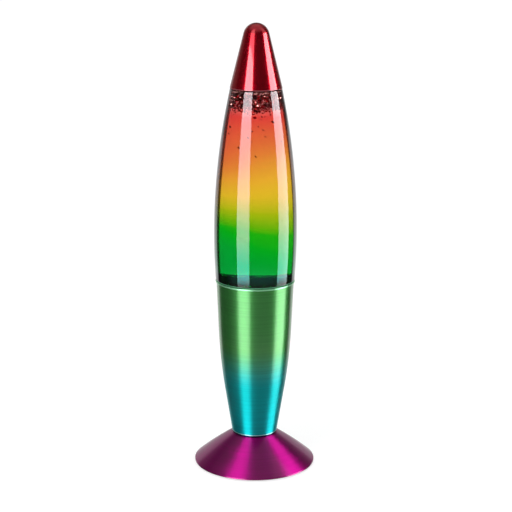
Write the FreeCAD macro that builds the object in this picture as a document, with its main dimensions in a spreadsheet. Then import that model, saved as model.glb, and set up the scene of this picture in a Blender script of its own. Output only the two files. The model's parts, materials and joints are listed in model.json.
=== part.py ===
"""Glitter lamp: spun metal foot and cup, glass bottle of liquid and flakes, spun metal cap.

Millimetres. The origin is on the table under the middle of the foot, +Z is up,
and the cord inlet is at the back, on +Y.
"""
import FreeCAD
import Part
import math
import os
import re
import Sketcher

# Driving sizes
SIZES = {
    "foot_dia": 110, "foot_height": 28, "foot_top_dia": 41, "foot_flank_radius": 320,
    "foot_lip": 1.2, "foot_lift": 1, "foot_wall": 0.8,
    "cover_thick": 1.6, "cover_gap": 0.1, "cover_vent_dia": 5, "cover_vent_inset": 12,
    "cover_vents": 12,
    "pad_inset": 6, "pad_width": 9, "pad_recess": 0.6,
    "grommet_dia": 8, "grommet_flange_dia": 10.4, "grommet_flange": 1.5, "cord_hole_dia": 6,
    "inlet_gap": 0.4, "inlet_set_back": 2,
    "cup_height": 144.9, "cup_bottom_dia": 40.4, "cup_knee_dia": 63.9, "cup_knee_rise": 72,
    "cup_mouth_dia": 70.1, "cup_blend_radius": 500, "cup_corner": 1.8, "cup_wall": 0.8,
    "bead_dia": 1.6,
    "floor_vent_dia": 4, "floor_vent_offset": 5, "floor_vents": 6,
    "tube_dia": 10, "tube_bore": 8, "tube_length": 22, "fit_gap": 0.06,
    "washer_dia": 18, "washer_thick": 1, "nut_flats": 14, "nut_thick": 3.5,
    "dome_dia": 28, "dome_height": 22, "dome_floor": 8, "dome_ledge_rise": 14, "dome_ledge": 1.5,
    "dome_wall": 2,
    "core_flange": 3, "core_wall": 1.2, "core_height": 18, "core_seat_rise": 6,
    "skirt_dia": 26, "skirt_height": 22,
    "thread_gap": 0.4, "sleeve_wall": 0.8, "sleeve_height": 11,
    "strip_width": 3, "strip_thick": 0.5, "nose_dia": 3.6, "nose_height": 1,
    "terminal_pitch_dia": 12, "terminal_dia": 2.8, "terminal_depth": 4,
    "terminal_head_dia": 4.4, "terminal_head": 1.8,
    "contact_gap": 0.3,
    "tip_dia": 4.8, "tip_height": 1.2, "insulator_dia": 12, "insulator_height": 3.2, "plug_dia": 9.6,
    "bulb_cap_dia": 13.4, "bulb_cap_wall": 0.4, "bulb_cap_height": 16,
    "bulb_dia": 39, "bulb_length": 66, "bulb_wall": 0.7, "bulb_rim_drop": 16, "bulb_edge_drop": 6,
    "bulb_face_dia": 30, "bulb_bowl_radius": 46, "bulb_edge_radius": 11,
    "bulb_seal_depth": 8,
    "stem_dia": 8, "stem_height": 22, "stem_flare": 2,
    "filament_span": 5, "filament_dia": 0.7, "filament_rise": 7,
    "seat_gap": 0.3, "spigot_gap": 0.6, "spigot_depth": 24, "heel_radius": 3, "punt": 4,
    "seat_overhang": 0.6, "belly_rise": 41, "belly_swell": 1.55, "ledge_rise": 132.5,
    "shoulder_fall": 14.2, "collar_step": 2.3, "collar_rise": 11, "neck_step": 8.7, "neck_rise": 8,
    "neck_wall": 3.5, "finish_lip": 1.3, "finish_rise": 5, "bottle_wall": 2.4, "base_thick": 4,
    "liquid_gap": 0.15, "fill_rise": 3,
    "flake_dia": 1.8, "flake_thick": 0.2, "flake_depth": 20, "flake_margin": 2.5, "flake_count": 64,
    "crown_gap": 0.3, "crown_flare": 2.1, "crown_tooth": 1.2, "crown_height": 6,
    "crown_sheet": 0.3, "crown_teeth": 21, "liner_thick": 0.8, "liner_gap": 0.1,
    "cap_gap": 0.3, "cap_overhang": 0.25, "cap_height": 56.5, "cap_tip_radius": 11.6, "cap_wall": 0.6,
}

DOC = FreeCAD.newDocument("glitter_lamp")
SHEET = DOC.addObject("Spreadsheet::Sheet", "Sizes")


def fill_sheet():
    """One row for each driving size."""
    for row, (name, size) in enumerate(SIZES.items(), 1):
        SHEET.set(f"A{row}", name)
        SHEET.set(f"B{row}", str(size))
        SHEET.setAlias(f"B{row}", name)
    DOC.recompute()


def bound(text):
    """The expression with every size name pointing into the sheet."""
    return re.sub(r"[a-z]\w*", lambda m: "Sizes." + m[0] if m[0] in SIZES else m[0], text)


def value(text):
    """The number that an expression has now."""
    found = SHEET.evalExpression(bound(text))
    return float(getattr(found, "Value", found))


# Sketching

def origin_plane(body, role):
    """A plane of the body's own origin."""
    return next(item for item in body.Origin.OriginFeatures if item.Role == role)


def new_sketch(body, name, role, height=None):
    """An empty sketch on an origin plane, raised by a height."""
    sketch = body.newObject("Sketcher::SketchObject", name)
    sketch.AttachmentSupport = [(origin_plane(body, role), "")]
    sketch.MapMode = "FlatFace"
    if height:
        sketch.setExpression("AttachmentOffset.Base.z", bound(height))
    return sketch


def limit(sketch, text, *where):
    """A dimension that follows an expression."""
    index = sketch.addConstraint(Sketcher.Constraint(*where, value(text)))
    sketch.setExpression(f"Constraints[{index}]", bound(text))


def pin(sketch, edge, end, across, up):
    """Hold a point of an edge at its place."""
    if across == "0":
        sketch.addConstraint(Sketcher.Constraint("PointOnObject", edge, end, -2))
    else:
        limit(sketch, across, "DistanceX", -1, 1, edge, end)
    if up == "0":
        sketch.addConstraint(Sketcher.Constraint("PointOnObject", edge, end, -1))
    else:
        limit(sketch, up, "DistanceY", -1, 1, edge, end)


def add_arc(sketch, start, finish, radius, turn):
    """An arc that turns left or right on its way; returns its first and last point numbers."""
    chord = finish - start
    side = FreeCAD.Vector(-chord.y, chord.x, 0).normalize()
    reach = math.sqrt(radius ** 2 - chord.Length ** 2 / 4)
    middle = (start + finish) * 0.5
    centre = middle + side * (reach if turn == "left" else -reach)
    first, last = (start, finish) if turn == "left" else (finish, start)
    angles = [math.atan2(point.y - centre.y, point.x - centre.x) for point in (first, last)]
    circle = Part.Circle(centre, FreeCAD.Vector(0, 0, 1), radius)
    sketch.addGeometry(Part.ArcOfCircle(circle, *angles), False)
    return (1, 2) if turn == "left" else (2, 1)


def half_section(body, name, outline):
    """A closed outline beside the axis.

    A corner is (radius, height); with (sweep radius, turn) added, the edge that
    arrives at it is an arc.
    """
    sketch = new_sketch(body, name, "XZ_Plane")
    points = [FreeCAD.Vector(value(corner[0]), value(corner[1]), 0) for corner in outline]
    ends = []
    for index, corner in enumerate(outline):
        start, finish = points[index - 1], points[index]
        if len(corner) == 2:
            sketch.addGeometry(Part.LineSegment(start, finish), False)
            ends.append((1, 2))
        else:
            ends.append(add_arc(sketch, start, finish, value(corner[2]), corner[3]))
    for index, corner in enumerate(outline):
        after = (index + 1) % len(outline)
        joint = ("Coincident", index, ends[index][1], after, ends[after][0])
        sketch.addConstraint(Sketcher.Constraint(*joint))
        pin(sketch, index, ends[index][1], corner[0], corner[1])
        if len(corner) == 4:
            limit(sketch, corner[2], "Radius", index)
    return sketch


def spin(body, kind, sketch, name):
    """Turn a sketch about the upright axis, adding to the body or cutting it."""
    feature = body.newObject("PartDesign::" + kind, name)
    feature.Profile = sketch
    feature.ReferenceAxis = (sketch, ["V_Axis"])
    feature.Angle = 360
    return feature


def turned(label, outline):
    """A piece of revolution."""
    body = DOC.addObject("PartDesign::Body", label)
    spin(body, "Revolution", half_section(body, label + "_section", outline), label + "_turn")
    return body


def add_bead(body, name, across, up, radius):
    """A round bead run about the axis."""
    sketch = new_sketch(body, name + "_section", "XZ_Plane")
    centre = FreeCAD.Vector(value(across), value(up), 0)
    sketch.addGeometry(Part.Circle(centre, FreeCAD.Vector(0, 0, 1), value(radius)), False)
    pin(sketch, 0, 3, across, up)
    limit(sketch, radius, "Radius", 0)
    spin(body, "Revolution", sketch, name)


def cut_hole(body, name, role, place, radius, depth, height=None):
    """A round hole cut from a plane of the body."""
    sketch = new_sketch(body, name + "_circle", role, height)
    centre = FreeCAD.Vector(value(place[0]), value(place[1]), 0)
    sketch.addGeometry(Part.Circle(centre, FreeCAD.Vector(0, 0, 1), value(radius)), False)
    pin(sketch, 0, 3, *place)
    limit(sketch, radius, "Radius", 0)
    pocket = body.newObject("PartDesign::Pocket", name)
    pocket.Profile = sketch
    pocket.setExpression("Length", bound(depth))
    pocket.Reversed = role == "XY_Plane"
    return pocket


def cut_ring(body, name, ring_dia, hole_dia, height, depth, count):
    """Equal holes spread about the axis."""
    hole = cut_hole(body, name, "XY_Plane", (f"({ring_dia}) / 2", "0"), f"({hole_dia}) / 2", depth, height)
    ring = body.newObject("PartDesign::PolarPattern", name + "_ring")
    ring.Originals = [hole]
    ring.Axis = (hole.Profile[0], ["N_Axis"])
    ring.Angle = 360
    if count in SIZES:
        ring.setExpression("Occurrences", bound(count))
    else:
        ring.Occurrences = int(count)
    body.Tip = ring


def solid(kind, label, place=("0", "0", "0"), **sizes):
    """A primitive with its sizes and its place as expressions."""
    item = DOC.addObject("Part::" + kind, label)
    for name, text in sizes.items():
        item.setExpression(name, bound(text))
    for axis, text in zip("xyz", place):
        item.setExpression("Placement.Base." + axis, bound(text))
    return item


def joined(kind, label, pieces):
    """Primitives made into one object."""
    item = DOC.addObject("Part::" + kind, label)
    if kind == "Cut":
        item.Base, item.Tool = pieces
    elif kind == "Compound":
        item.Links = pieces
    else:
        item.Shapes = pieces
    return item


# Levels and shared places

LIP_Z = "(foot_lift + foot_lip)"
RIM_Z = "(foot_height + cup_height)"
SEAT_Z = f"({RIM_Z} + seat_gap)"
BASE_Z = f"({SEAT_Z} - spigot_depth)"
FLOOR_Z = f"({BASE_Z} + punt + base_thick)"
BELLY_Z = f"({SEAT_Z} + belly_rise)"
LEDGE_Z = f"({BELLY_Z} + ledge_rise)"
NECK_Z = f"({LEDGE_Z} + collar_rise)"
FINISH_Z = f"({NECK_Z} + neck_rise)"
TOP_Z = f"({FINISH_Z} + finish_rise)"
CROWN_Z = f"({TOP_Z} + liner_thick + crown_sheet)"
CAP_Z = f"({LEDGE_Z} + cap_gap)"
HOLDER_Z = "(foot_height + cup_wall + washer_thick + nut_thick)"
CORE_Z = f"({HOLDER_Z} + dome_ledge_rise)"
SOCKET_Z = f"({CORE_Z} + core_seat_rise)"
BULB_Z = f"({SOCKET_Z} + strip_thick + nose_height + contact_gap)"
BULB_CAP_Z = f"({BULB_Z} + tip_height + insulator_height)"
BULB_NECK_Z = f"({BULB_CAP_Z} + bulb_cap_height)"
INLET_Z = "(foot_lift + cover_thick + inlet_gap + grommet_flange_dia / 2)"
TUBE_HOLE = "(tube_dia / 2 + fit_gap)"
PAD_R = "(foot_dia / 2 - pad_inset)"
FLOOR_VENT_RING = "washer_dia + 2 * floor_vent_offset"


# Foot

RUN = "((foot_dia - foot_top_dia) / 2)"
DROP = f"(foot_height - {LIP_Z})"
CHORD = f"sqrt({RUN}^2 + {DROP}^2)"
REACH = f"sqrt(foot_flank_radius^2 - {CHORD}^2 / 4)"
FLANK_X = f"((foot_dia + foot_top_dia) / 4 - {DROP} / {CHORD} * {REACH})"
FLANK_Z = f"((foot_height + {LIP_Z}) / 2 - {RUN} / {CHORD} * {REACH})"


def inside_flank(height):
    """Radius of the foot's inner face at a height."""
    return f"({FLANK_X} + sqrt((foot_flank_radius - foot_wall)^2 - ({height} - {FLANK_Z})^2))"


def foot_shell():
    """Spun cone with a flat top and an upright lip."""
    lip_inside = "foot_dia / 2 - foot_wall"
    under_top = "foot_height - foot_wall"
    turn_in = f"{FLANK_Z} + sqrt((foot_flank_radius - foot_wall)^2 - ({lip_inside} - {FLANK_X})^2)"
    body = turned("foot_shell", [
        (TUBE_HOLE, "foot_height"),
        ("foot_top_dia / 2", "foot_height"),
        ("foot_dia / 2", LIP_Z, "foot_flank_radius", "right"),
        ("foot_dia / 2", "foot_lift"),
        (lip_inside, "foot_lift"),
        (lip_inside, turn_in),
        (inside_flank(f"({under_top})"), under_top, "foot_flank_radius - foot_wall", "left"),
        (TUBE_HOLE, under_top),
    ])
    cut_ring(body, "foot_vent", FLOOR_VENT_RING, "floor_vent_dia", "foot_height - 2 * foot_wall",
             "3 * foot_wall", "floor_vents")
    body.Tip = cut_hole(body, "cord_opening", "XZ_Plane", ("0", INLET_Z), "grommet_dia / 2 + fit_gap",
                        "foot_dia")
    return body


def bottom_cover():
    """Pressed-in disc with vents and a groove for the pad."""
    top = "(foot_lift + cover_thick)"
    groove = "(foot_lift + pad_recess)"
    edge = f"{inside_flank(top)} - cover_gap"
    body = turned("bottom_cover", [
        ("0", "foot_lift"),
        (f"{PAD_R} - pad_width", "foot_lift"),
        (f"{PAD_R} - pad_width", groove),
        (PAD_R, groove),
        (PAD_R, "foot_lift"),
        (edge, "foot_lift"),
        (edge, top),
        ("0", top),
    ])
    ring = f"2 * ({PAD_R} - pad_width - cover_vent_inset)"
    cut_ring(body, "cover_vent", ring, "cover_vent_dia", "foot_lift - cover_thick", "3 * cover_thick",
             "cover_vents")
    return body


def pad_ring():
    """Soft ring that the lamp stands on."""
    return turned("pad_ring", [
        (f"{PAD_R} - pad_width + fit_gap", "0"),
        (f"{PAD_R} - fit_gap", "0"),
        (f"{PAD_R} - fit_gap", "foot_lift + pad_recess"),
        (f"{PAD_R} - pad_width + fit_gap", "foot_lift + pad_recess"),
    ])


def cord_grommet():
    """Bush in the back of the foot, drawn upright and laid along +Y."""
    flange_top = f"({INLET_Z} + grommet_flange_dia / 2)"
    shoulder = f"({inside_flank(flange_top)} - fit_gap)"
    inner = f"{shoulder} - grommet_flange"
    outer = "foot_dia / 2 - inlet_set_back"
    body = turned("cord_grommet", [
        ("cord_hole_dia / 2", inner),
        ("grommet_flange_dia / 2", inner),
        ("grommet_flange_dia / 2", shoulder),
        ("grommet_dia / 2", shoulder),
        ("grommet_dia / 2", outer),
        ("cord_hole_dia / 2", outer),
    ])
    body.Placement.Rotation = FreeCAD.Rotation(FreeCAD.Vector(1, 0, 0), -90)
    body.setExpression("Placement.Base.z", bound(INLET_Z))
    return body


# Cup

LOW_LEAN = "atan2((cup_knee_dia - cup_bottom_dia) / 2; cup_knee_rise)"
HIGH_LEAN = "atan2((cup_mouth_dia - cup_knee_dia) / 2; cup_height - bead_dia / 2 - cup_knee_rise)"
BLEND = f"(cup_blend_radius * tan(({LOW_LEAN} - {HIGH_LEAN}) / 2))"
HALF_CORNER = f"tan((90 deg - {LOW_LEAN}) / 2)"


def cup_wall_points(inset):
    """Corners of one face of the cup's wall, floor first, set in by a distance."""
    floor = f"(foot_height + {inset})"
    low = f"(cup_bottom_dia / 2 + {inset} * tan({LOW_LEAN}) - {inset} / cos({LOW_LEAN}))"
    corner = f"((cup_corner - {inset}) * {HALF_CORNER})"
    knee_z = "(foot_height + cup_knee_rise)"
    sweep = f"cup_blend_radius - {inset}"
    return [
        (f"{low} - {corner}", floor),
        (f"{low} + {corner} * sin({LOW_LEAN})", f"{floor} + {corner} * cos({LOW_LEAN})",
         f"cup_corner - {inset}"),
        (f"cup_knee_dia / 2 - {BLEND} * sin({LOW_LEAN}) - {inset} * cos({LOW_LEAN})",
         f"{knee_z} - {BLEND} * cos({LOW_LEAN}) + {inset} * sin({LOW_LEAN})"),
        (f"cup_knee_dia / 2 + {BLEND} * sin({HIGH_LEAN}) - {inset} * cos({HIGH_LEAN})",
         f"{knee_z} + {BLEND} * cos({HIGH_LEAN}) + {inset} * sin({HIGH_LEAN})", sweep),
        (f"cup_mouth_dia / 2 - {inset} / cos({HIGH_LEAN})", f"{RIM_Z} - bead_dia / 2"),
    ]


def cup_shell():
    """Spun cup with a rolled rim, standing on the foot."""
    out = cup_wall_points("0")
    back = cup_wall_points("cup_wall")
    body = turned("cup_shell", [
        (TUBE_HOLE, "foot_height"),
        out[0],
        (*out[1], "left"),
        out[2],
        (*out[3], "left"),
        out[4],
        back[4],
        back[3][:2],
        (*back[2], back[3][2], "right"),
        back[1][:2],
        (*back[0], back[1][2], "right"),
        (TUBE_HOLE, "foot_height + cup_wall"),
    ])
    add_bead(body, "cup_bead", f"{back[4][0]} + bead_dia / 2", f"{RIM_Z} - bead_dia / 2", "bead_dia / 2")
    cut_ring(body, "cup_vent", FLOOR_VENT_RING, "floor_vent_dia", "foot_height - cup_wall",
             "3 * cup_wall", "floor_vents")
    return body


# Tube, washers and nuts that hold foot, cup and lampholder together

def washer(label, height):
    """Flat washer round the tube."""
    return turned(label, [
        (TUBE_HOLE, height),
        ("washer_dia / 2", height),
        ("washer_dia / 2", f"{height} + washer_thick"),
        (TUBE_HOLE, f"{height} + washer_thick"),
    ])


def nut(label, height):
    """Thin hexagon nut."""
    place = ("0", "0", height)
    hexagon = solid("Prism", label + "_hexagon", place, Circumradius="nut_flats / 2 / cos(30)",
                    Height="nut_thick")
    hexagon.Polygon = 6
    bore = solid("Cylinder", label + "_bore", place, Radius=TUBE_HOLE, Height="nut_thick")
    return joined("Cut", label, [hexagon, bore])


def clamp():
    """The threaded tube with a washer and a nut at each end."""
    tube_top = f"({HOLDER_Z} + dome_floor)"
    tube = turned("threaded_tube", [
        ("tube_bore / 2", f"{tube_top} - tube_length"),
        ("tube_dia / 2", f"{tube_top} - tube_length"),
        ("tube_dia / 2", tube_top),
        ("tube_bore / 2", tube_top),
    ])
    under = "foot_height - foot_wall - washer_thick"
    over = "foot_height + cup_wall"
    return [
        tube,
        washer("lower_washer", under),
        nut("lower_nut", f"{under} - nut_thick"),
        washer("upper_washer", over),
        nut("upper_nut", f"{over} + washer_thick"),
    ]


# Lampholder

SLEEVE_BORE = "(bulb_cap_dia / 2 + thread_gap)"
SLEEVE_R = f"({SLEEVE_BORE} + sleeve_wall)"
CORE_BORE = f"({SLEEVE_R} + fit_gap)"
CORE_R = f"({CORE_BORE} + core_wall)"
DOME_BORE = "(dome_dia / 2 - dome_wall)"


def holder_dome():
    """Lower shell, screwed on the tube, with a ledge for the core."""
    ledge = f"({DOME_BORE} - dome_ledge)"
    return turned("holder_dome", [
        (TUBE_HOLE, HOLDER_Z),
        ("dome_dia / 2 - dome_wall", HOLDER_Z),
        ("dome_dia / 2", f"{HOLDER_Z} + dome_wall", "dome_wall", "left"),
        ("dome_dia / 2", f"{HOLDER_Z} + dome_height"),
        (DOME_BORE, f"{HOLDER_Z} + dome_height"),
        (DOME_BORE, CORE_Z),
        (ledge, CORE_Z),
        (ledge, f"{HOLDER_Z} + dome_floor"),
        (TUBE_HOLE, f"{HOLDER_Z} + dome_floor"),
    ])


def holder_core():
    """Insulating core with a socket for the brass sleeve."""
    flange = f"({DOME_BORE} - fit_gap)"
    body = turned("holder_core", [
        ("0", CORE_Z),
        (flange, CORE_Z),
        (flange, f"{CORE_Z} + core_flange"),
        (CORE_R, f"{CORE_Z} + core_flange"),
        (CORE_R, f"{CORE_Z} + core_height"),
        (CORE_BORE, f"{CORE_Z} + core_height"),
        (CORE_BORE, SOCKET_Z),
        ("0", SOCKET_Z),
    ])
    cut_ring(body, "terminal_hole", "terminal_pitch_dia", "terminal_dia + 2 * fit_gap", CORE_Z,
             "terminal_depth + fit_gap", "2")
    return body


def holder_skirt():
    """Upper shell that screws into the dome and holds the core down."""
    bore = f"({CORE_R} + fit_gap)"
    spigot = f"({DOME_BORE} - fit_gap)"
    dome_top = f"{HOLDER_Z} + dome_height"
    top = f"{dome_top} + skirt_height"
    return turned("holder_skirt", [
        (bore, f"{CORE_Z} + core_flange"),
        (spigot, f"{CORE_Z} + core_flange"),
        (spigot, dome_top),
        ("skirt_dia / 2", dome_top),
        ("skirt_dia / 2", top),
        (bore, top),
    ])


def holder_sleeve():
    """Brass sleeve that takes the bulb's thread."""
    top = f"{CORE_Z} + core_height"
    return turned("holder_sleeve", [
        (SLEEVE_BORE, f"{top} - sleeve_height"),
        (SLEEVE_R, f"{top} - sleeve_height"),
        (SLEEVE_R, top),
        (SLEEVE_BORE, top),
    ])


def holder_contact():
    """Brass strip with a nose under the bulb's tip."""
    strip = solid("Box", "contact_strip", ("-strip_width / 2", "-strip_width / 2", SOCKET_Z),
                  Length=SLEEVE_BORE, Width="strip_width", Height="strip_thick")
    nose = solid("Cylinder", "contact_nose", ("0", "0", SOCKET_Z), Radius="nose_dia / 2",
                 Height="strip_thick + nose_height")
    return joined("MultiFuse", "holder_contact", [strip, nose])


def terminal_screws():
    """Two screws in the underside of the core."""
    screws = []
    for side, sign in (("left", "-"), ("right", "")):
        across = f"{sign}terminal_pitch_dia / 2"
        head = solid("Cylinder", side + "_head", (across, "0", f"{CORE_Z} - terminal_head"),
                     Radius="terminal_head_dia / 2", Height="terminal_head")
        shank = solid("Cylinder", side + "_shank", (across, "0", CORE_Z),
                      Radius="terminal_dia / 2", Height="terminal_depth")
        screws.append(joined("MultiFuse", side + "_screw", [head, shank]))
    return joined("Compound", "terminal_screws", screws)


# Bulb

def bulb_base():
    """Solder tip, glass insulator and screw cap."""
    plug = "(plug_dia / 2)"
    cone_z = f"{BULB_Z} + tip_height"
    tip = turned("bulb_tip", [
        ("0", BULB_Z),
        ("tip_dia / 3", BULB_Z),
        ("tip_dia / 2", f"{BULB_Z} + tip_height / 2"),
        ("tip_dia / 2", cone_z),
        ("0", cone_z),
    ])
    insulator = turned("bulb_insulator", [
        ("0", cone_z),
        ("tip_dia / 2 + bulb_cap_wall", cone_z),
        ("insulator_dia / 2", BULB_CAP_Z),
        (f"{plug} - fit_gap", BULB_CAP_Z),
        (f"{plug} - fit_gap", f"{BULB_CAP_Z} + 2 * bulb_cap_wall"),
        ("0", f"{BULB_CAP_Z} + 2 * bulb_cap_wall"),
    ])
    bore = "bulb_cap_dia / 2 - bulb_cap_wall"
    cap = turned("bulb_screw_cap", [
        (plug, BULB_CAP_Z),
        ("bulb_cap_dia / 2", BULB_CAP_Z),
        ("bulb_cap_dia / 2", BULB_NECK_Z),
        (bore, BULB_NECK_Z),
        (bore, f"{BULB_CAP_Z} + bulb_cap_wall"),
        (plug, f"{BULB_CAP_Z} + bulb_cap_wall"),
    ])
    return [tip, insulator, cap]


BULB_NECK_R = "(bulb_cap_dia / 2 - bulb_cap_wall - fit_gap)"


def bulb_face(inset):
    """Corners of one face of the bulb's glass, from the neck to the front."""
    top = f"({BULB_Z} + bulb_length)"
    face = f"(bulb_face_dia / 2 - {inset} / 2)"
    return [
        (f"{BULB_NECK_R} - {inset}", f"{BULB_NECK_Z} - bulb_seal_depth"),
        (f"{BULB_NECK_R} - {inset}", f"{BULB_NECK_Z} + {inset}"),
        (f"bulb_dia / 2 - {inset}", f"{top} - bulb_rim_drop", f"bulb_bowl_radius - {inset}"),
        (face, f"{top} - bulb_edge_drop - {inset}", f"bulb_edge_radius - {inset}"),
        ("0", f"{top} - {inset}", f"({face}^2 + bulb_edge_drop^2) / (2 * bulb_edge_drop)"),
    ]


def bulb_envelope():
    """Reflector bulb: narrow neck, bowl and domed front, open at the neck's lower end."""
    out = bulb_face("0")
    back = bulb_face("bulb_wall")
    outline = out[:2]
    outline += [(*corner, "left") for corner in out[2:]]
    outline.append(back[4][:2])
    outline += [(*back[index - 1][:2], back[index][2], "right") for index in (4, 3, 2)]
    outline.append(back[0][:2])
    return turned("bulb_envelope", outline)


STEM_TOP = f"({BULB_NECK_Z} - bulb_seal_depth + stem_height)"


def bulb_stem():
    """Glass mount with a flared foot in the neck."""
    foot = f"{BULB_NECK_Z} - bulb_seal_depth"
    flare = f"{BULB_NECK_R} - bulb_wall - fit_gap"
    return turned("bulb_stem", [
        ("0", foot),
        (flare, foot),
        (flare, f"{foot} + stem_flare"),
        ("stem_dia / 2", f"{foot} + 2 * stem_flare"),
        ("stem_dia / 2", STEM_TOP),
        ("0", STEM_TOP),
    ])


def bulb_filament():
    """Two lead wires joined by a loop."""
    top = f"({STEM_TOP} + filament_rise)"
    legs = []
    for side, sign in (("left", "-"), ("right", "")):
        legs.append(solid("Cylinder", side + "_lead", (f"{sign}filament_span / 2", "0", STEM_TOP),
                          Radius="filament_dia / 2", Height="filament_rise"))
    loop = solid("Torus", "filament_loop", ("0", "0", top), Radius1="filament_span / 2",
                 Radius2="filament_dia / 2")
    loop.Angle3 = 180
    loop.Placement.Rotation = FreeCAD.Rotation(FreeCAD.Vector(1, 0, 0), 90)
    return joined("MultiFuse", "bulb_filament", legs + [loop])


# Bottle

MOUTH_BORE = f"(cup_mouth_dia / 2 - cup_wall / cos({HIGH_LEAN}))"
SPIGOT_R = f"({MOUTH_BORE} - spigot_depth * tan({HIGH_LEAN}) - spigot_gap)"
SEAT_R = "(cup_mouth_dia / 2 + seat_overhang)"
BELLY_R = f"({SEAT_R} + belly_swell)"
LOWER_SWEEP = "((belly_rise^2 + belly_swell^2) / (2 * belly_swell))"
UPPER_SWEEP = "((ledge_rise^2 + shoulder_fall^2) / (2 * shoulder_fall))"
LEDGE_R = f"({BELLY_R} - shoulder_fall)"
COLLAR_R = f"({LEDGE_R} - collar_step)"
NECK_R = f"({COLLAR_R} - neck_step)"
NECK_BORE = f"({NECK_R} - neck_wall)"
FINISH_R = f"({NECK_R} + finish_lip)"


def swept_radius(sweep, inset, rise):
    """Radius of the bottle's wall at a rise from the belly."""
    return f"({BELLY_R} - {sweep} + sqrt(({sweep} - {inset})^2 - ({rise})^2))"


def cavity(inset):
    """Corners of the bottle's inside from the floor to the ledge, set in from the outer face."""
    side = f"{SPIGOT_R} - {inset}"
    return [
        ("0", f"{FLOOR_Z} + {inset} - bottle_wall"),
        (side, f"{FLOOR_Z} + {inset} - bottle_wall"),
        (side, SEAT_Z),
        (swept_radius(LOWER_SWEEP, inset, f"belly_rise - {inset}"), f"{SEAT_Z} + {inset}"),
        (f"{BELLY_R} - {inset}", BELLY_Z, f"{LOWER_SWEEP} - {inset}", "left"),
        (swept_radius(UPPER_SWEEP, inset, f"ledge_rise - {inset}"), f"{LEDGE_Z} - {inset}",
         f"{UPPER_SWEEP} - {inset}", "left"),
    ]


def bottle_glass():
    """Blown bottle with a spigot below, a ledge for the cap and a crown finish."""
    heel_ring = f"({SPIGOT_R} - heel_radius)"
    body = turned("bottle_glass", [
        ("0", f"{BASE_Z} + punt"),
        (heel_ring, BASE_Z, f"({heel_ring}^2 + punt^2) / (2 * punt)", "right"),
        (SPIGOT_R, f"{BASE_Z} + heel_radius", "heel_radius", "left"),
        (SPIGOT_R, SEAT_Z),
        (SEAT_R, SEAT_Z),
        (BELLY_R, BELLY_Z, LOWER_SWEEP, "left"),
        (LEDGE_R, LEDGE_Z, UPPER_SWEEP, "left"),
        (COLLAR_R, LEDGE_Z),
        (NECK_R, NECK_Z),
        (NECK_R, FINISH_Z),
        (FINISH_R, FINISH_Z),
        (FINISH_R, TOP_Z),
        ("0", TOP_Z),
    ])
    inside = cavity("bottle_wall") + [
        (f"{COLLAR_R} - bottle_wall", LEDGE_Z),
        (NECK_BORE, NECK_Z),
        (NECK_BORE, TOP_Z),
        ("0", TOP_Z),
    ]
    spin(body, "Groove", half_section(body, "bottle_inside", inside), "bottle_hollow")
    return body


def clear_liquid():
    """Liquid that fills the bottle to just above the ledge."""
    inset = "(bottle_wall + liquid_gap)"
    collar = f"({COLLAR_R} - {inset})"
    surface = f"{collar} - ({collar} - {NECK_BORE}) * fill_rise / collar_rise - liquid_gap"
    return turned("clear_liquid", cavity(inset) + [
        (collar, LEDGE_Z),
        (surface, f"{LEDGE_Z} + fill_rise"),
        ("0", f"{LEDGE_Z} + fill_rise"),
    ])


def glitter_flakes():
    """Six-sided flakes gathered in the top of the liquid, spread evenly through a layer."""
    count = int(value("flake_count"))
    flakes = []
    for index in range(count):
        share = (index + 0.5) / count
        turn = math.radians(137.508 * index)
        below = f"bottle_wall + liquid_gap + flake_dia / 2 + {share:.4f} * flake_depth"
        reach = f"{LEDGE_R} - bottle_wall - flake_margin"
        out = math.sqrt((index * 0.754878) % 1)
        place = (f"{out * math.cos(turn):.4f} * ({reach})", f"{out * math.sin(turn):.4f} * ({reach})",
                 f"{LEDGE_Z} - ({below})")
        flake = solid("Prism", f"flake_{index}", place, Circumradius="flake_dia / 2", Height="flake_thick")
        flake.Polygon = 6
        axis = FreeCAD.Vector(math.cos(5 * turn), math.sin(5 * turn), 0)
        flake.Placement.Rotation = FreeCAD.Rotation(axis, 15 + 150 * share)
        flakes.append(flake)
    return joined("Compound", "glitter_flakes", flakes)


# Crown cap on the bottle

CROWN_R = f"({FINISH_R} + crown_gap + crown_sheet)"


def fluted(inset):
    """Cone that opens from a plain ring into the teeth of the crown, set in by a distance."""
    teeth = int(value("crown_teeth"))
    top = value(f"{CROWN_Z} - {inset}")
    low = value(f"{CROWN_Z} - crown_height")
    plain = value(f"{CROWN_R} - {inset}")
    peak = value(f"{CROWN_R} + crown_flare - {inset}")
    radii = (peak, peak - value("crown_tooth"))
    rings = []
    for height, sizes in ((low, radii), (top, (plain, plain))):
        ring = []
        for index in range(2 * teeth + 1):
            turn = math.pi * (index % (2 * teeth)) / teeth
            size = sizes[index % 2]
            ring.append(FreeCAD.Vector(size * math.cos(turn), size * math.sin(turn), height))
        rings.append(Part.makePolygon(ring))
    return Part.makeLoft(rings, True, True)


def crown_cap():
    """Pressed crown: the fluted skirt is a ruled shape, lofted from ring to teeth."""
    crown = DOC.addObject("Part::Feature", "crown_cap")
    crown.Shape = fluted("0").cut(fluted("crown_sheet"))
    return crown


def crown_liner():
    """Sealing disc between the crown and the glass."""
    edge = f"{CROWN_R} - crown_sheet - liner_gap"
    return turned("crown_liner", [
        ("0", TOP_Z),
        (edge, TOP_Z),
        (edge, f"{TOP_Z} + liner_thick"),
        ("0", f"{TOP_Z} + liner_thick"),
    ])


# Cap

CAP_RISE = "(cap_height - cap_tip_radius)"
CAP_R = f"({LEDGE_R} + cap_overhang)"
CAP_LEAN = f"(acos(cap_tip_radius / sqrt({CAP_R}^2 + {CAP_RISE}^2)) - atan2({CAP_RISE}; {CAP_R}))"


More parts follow.
